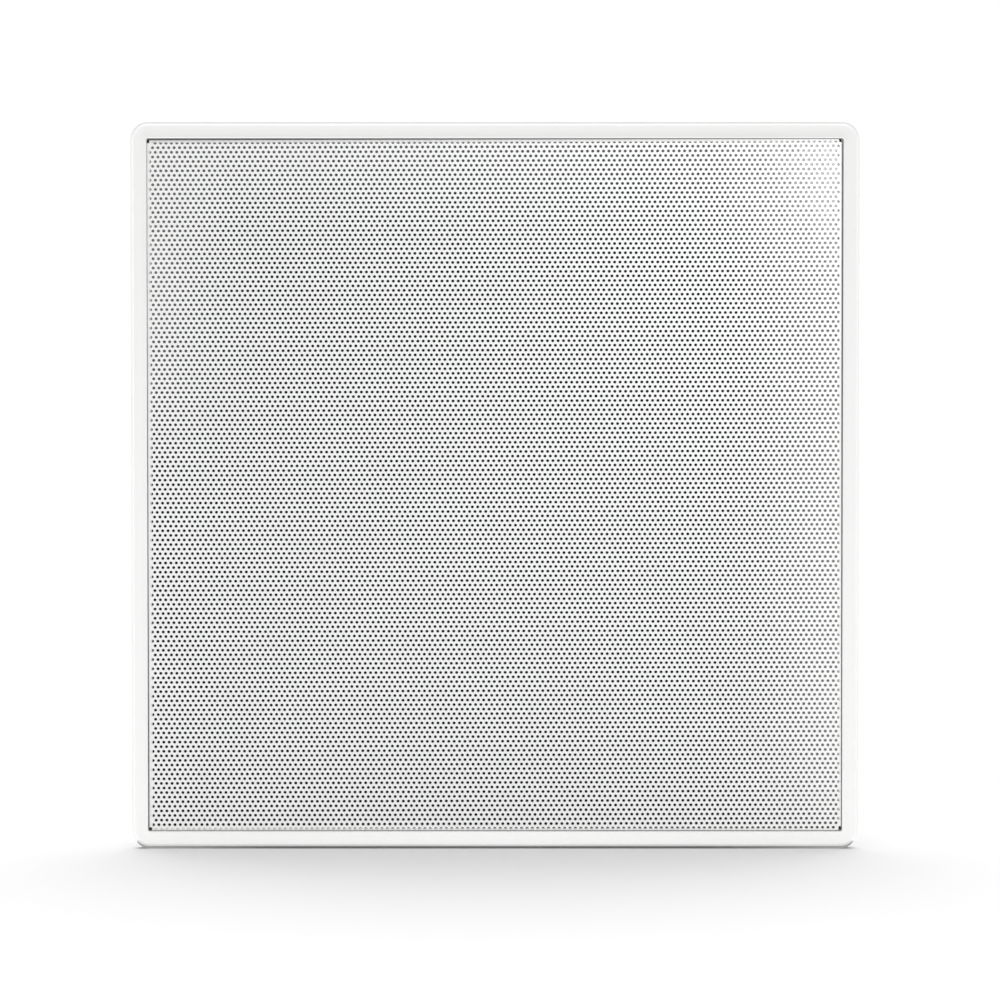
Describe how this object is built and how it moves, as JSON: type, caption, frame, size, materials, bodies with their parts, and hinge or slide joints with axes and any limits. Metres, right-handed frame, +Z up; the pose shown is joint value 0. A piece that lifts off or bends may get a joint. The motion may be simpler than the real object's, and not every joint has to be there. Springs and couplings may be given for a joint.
{
  "type": "wall speaker",
  "caption": "Square white flush-mount wall speaker: slim rounded bezel, perforated steel grille held by magnets, coaxial woofer and tilting tweeter, swing-out wall clamps.",
  "frame": {"origin": "centre of the flange's rear face, in the plane of the wall", "axes": "+X to the right seen from the front, +Y into the wall, +Z up"},
  "size_m": [0.27, 0.1019, 0.27],
  "materials": {
    "white_abs": "fine matt moulded white ABS",
    "foam": "closed cell foam strip",
    "white_powder_coat": "white powder coat on perforated steel",
    "black_cloth": "black acoustic cloth",
    "nickel": "nickel plated",
    "black_abs": "black moulded ABS, fine grain",
    "black_screws": "black oxide steel",
    "black_steel": "black painted pressed steel",
    "rubber": "butyl rubber",
    "cone": "grey-black polypropylene",
    "spider_cloth": "resin treated cotton",
    "coil_former": "amber polyimide film",
    "copper": "enamelled copper wire",
    "zinc_steel": "zinc plated steel",
    "ferrite": "sintered ferrite",
    "neodymium": "nickel plated neodymium",
    "fibre_board": "brown phenolic board",
    "brass": "brass",
    "tinsel": "tinned tinsel braid",
    "aluminium": "turned aluminium",
    "nylon": "black nylon",
    "silk": "coated silk",
    "board": "green solder mask",
    "film_capacitor": "yellow film wrap",
    "cement": "white cement body",
    "red_plastic": "red ABS",
    "black_plastic": "black ABS",
    "lead_black": "PVC insulation",
    "zinc_screw": "yellow passivated zinc",
    "clamp_nylon": "natural white nylon"
  },
  "bodies": {
    "root": {"baffle": "black_abs", "baffle_screws": "black_screws", "bezel_frame": "white_abs", "board_screws": "zinc_steel", "crossover_board": "board", "crossover_capacitors": "film_capacitor", "crossover_resistors": "cement", "crossover_tray": "black_abs", "flange_gasket": "foam", "grille_magnets": "nickel", "inductor_bobbins": "nylon", "inductor_windings": "copper", "post_nut": "zinc_steel", "terminal_contacts": "brass", "terminal_housing": "black_abs", "tinsel_leads": "tinsel", "tweeter_leads": "lead_black", "tweeter_post": "aluminium", "woofer_basket_arms": "black_steel", "woofer_basket_back": "black_steel", "woofer_basket_rim": "black_steel", "woofer_gasket": "rubber", "woofer_leads": "lead_black", "woofer_magnet": "ferrite", "woofer_screws": "black_screws", "woofer_spider": "spider_cloth", "woofer_surround": "rubber", "woofer_terminal_lugs": "brass", "woofer_terminal_strip": "fibre_board", "woofer_top_plate": "zinc_steel", "woofer_yoke": "zinc_steel"},
    "grille": {"grille": "white_powder_coat", "grille_cloth": "black_cloth"},
    "cone": {"woofer_cone": "cone", "voice_coil_former": "coil_former", "voice_coil_winding": "copper"},
    "fork": {"tweeter_fork": "nylon", "tweeter_pin": "zinc_steel"},
    "tweeter": {"tweeter_housing": "black_abs", "tweeter_faceplate": "black_abs", "tweeter_dome": "silk", "tweeter_coil": "copper", "tweeter_pole_plate": "zinc_steel", "tweeter_magnet": "neodymium", "tweeter_cup": "zinc_steel"},
    "button_red": {"terminal_button_red": "red_plastic"},
    "button_black": {"terminal_button_black": "black_plastic"},
    "screw_top": {"clamp_screw_top": "zinc_screw"},
    "nut_top": {"clamp_nut_top": "brass"},
    "arm_top": {"clamp_arm_top": "clamp_nylon"},
    "screw_left": {"clamp_screw_left": "zinc_screw"},
    "nut_left": {"clamp_nut_left": "brass"},
    "arm_left": {"clamp_arm_left": "clamp_nylon"},
    "screw_bottom": {"clamp_screw_bottom": "zinc_screw"},
    "nut_bottom": {"clamp_nut_bottom": "brass"},
    "arm_bottom": {"clamp_arm_bottom": "clamp_nylon"},
    "screw_right": {"clamp_screw_right": "zinc_screw"},
    "nut_right": {"clamp_nut_right": "brass"},
    "arm_right": {"clamp_arm_right": "clamp_nylon"}
  },
  "joints": [
    {"name": "grille_pull", "type": "slide", "parent": "root", "child": "grille", "axis": [0, -1, 0], "range_m": [0, 0.06]},
    {"name": "cone_travel", "type": "slide", "parent": "root", "child": "cone", "axis": [0, -1, 0], "range_m": [-0.004, 0.004], "stiffness_N_per_m": 1500, "deforming": ["woofer_surround", "woofer_spider", "tinsel_leads"]},
    {"name": "tweeter_turn", "type": "hinge", "parent": "root", "child": "fork", "pos_m": [0, 0.0297, 0], "axis": [0, 1, 0], "continuous": true},
    {"name": "tweeter_tilt", "type": "hinge", "parent": "fork", "child": "tweeter", "pos_m": [0, 0.021, 0], "axis": [1, 0, 0], "range_deg": [-12, 12]},
    {"name": "press_red", "type": "slide", "parent": "root", "child": "button_red", "axis": [0, -1, 0], "range_m": [0, 0.0025], "stiffness_N_per_m": 600},
    {"name": "press_black", "type": "slide", "parent": "root", "child": "button_black", "axis": [0, -1, 0], "range_m": [0, 0.0025], "stiffness_N_per_m": 600},
    {"name": "screw_turn_top", "type": "hinge", "parent": "root", "child": "screw_top", "pos_m": [0.086, 0, 0.107], "axis": [0, 1, 0], "range_deg": [0, 7201]},
    {"name": "clamp_draw_top", "type": "slide", "parent": "root", "child": "nut_top", "axis": [0, -1, 0], "range_m": [0, 0.03]},
    {"name": "clamp_swing_top", "type": "hinge", "parent": "nut_top", "child": "arm_top", "pos_m": [0.086, 0.053, 0.107], "axis": [0, -1, 0], "range_deg": [0, 90]},
    {"name": "screw_turn_left", "type": "hinge", "parent": "root", "child": "screw_left", "pos_m": [-0.107, 0, 0.086], "axis": [0, 1, 0], "range_deg": [0, 7201]},
    {"name": "clamp_draw_left", "type": "slide", "parent": "root", "child": "nut_left", "axis": [0, -1, 0], "range_m": [0, 0.03]},
    {"name": "clamp_swing_left", "type": "hinge", "parent": "nut_left", "child": "arm_left", "pos_m": [-0.107, 0.053, 0.086], "axis": [0, -1, 0], "range_deg": [0, 90]},
    {"name": "screw_turn_bottom", "type": "hinge", "parent": "root", "child": "screw_bottom", "pos_m": [-0.086, 0, -0.107], "axis": [0, 1, 0], "range_deg": [0, 7201]},
    {"name": "clamp_draw_bottom", "type": "slide", "parent": "root", "child": "nut_bottom", "axis": [0, -1, 0], "range_m": [0, 0.03]},
    {"name": "clamp_swing_bottom", "type": "hinge", "parent": "nut_bottom", "child": "arm_bottom", "pos_m": [-0.086, 0.053, -0.107], "axis": [0, -1, 0], "range_deg": [0, 90]},
    {"name": "screw_turn_right", "type": "hinge", "parent": "root", "child": "screw_right", "pos_m": [0.107, 0, -0.086], "axis": [0, 1, 0], "range_deg": [0, 7201]},
    {"name": "clamp_draw_right", "type": "slide", "parent": "root", "child": "nut_right", "axis": [0, -1, 0], "range_m": [0, 0.03]},
    {"name": "clamp_swing_right", "type": "hinge", "parent": "nut_right", "child": "arm_right", "pos_m": [0.107, 0.053, -0.086], "axis": [0, -1, 0], "range_deg": [0, 90]}
  ],
  "couplings": [
    {"joint": "screw_turn_top", "follows": "clamp_draw_top", "rad_per_m": 4188.8},
    {"joint": "screw_turn_left", "follows": "clamp_draw_left", "rad_per_m": 4188.8},
    {"joint": "screw_turn_bottom", "follows": "clamp_draw_bottom", "rad_per_m": 4188.8},
    {"joint": "screw_turn_right", "follows": "clamp_draw_right", "rad_per_m": 4188.8}
  ]
}
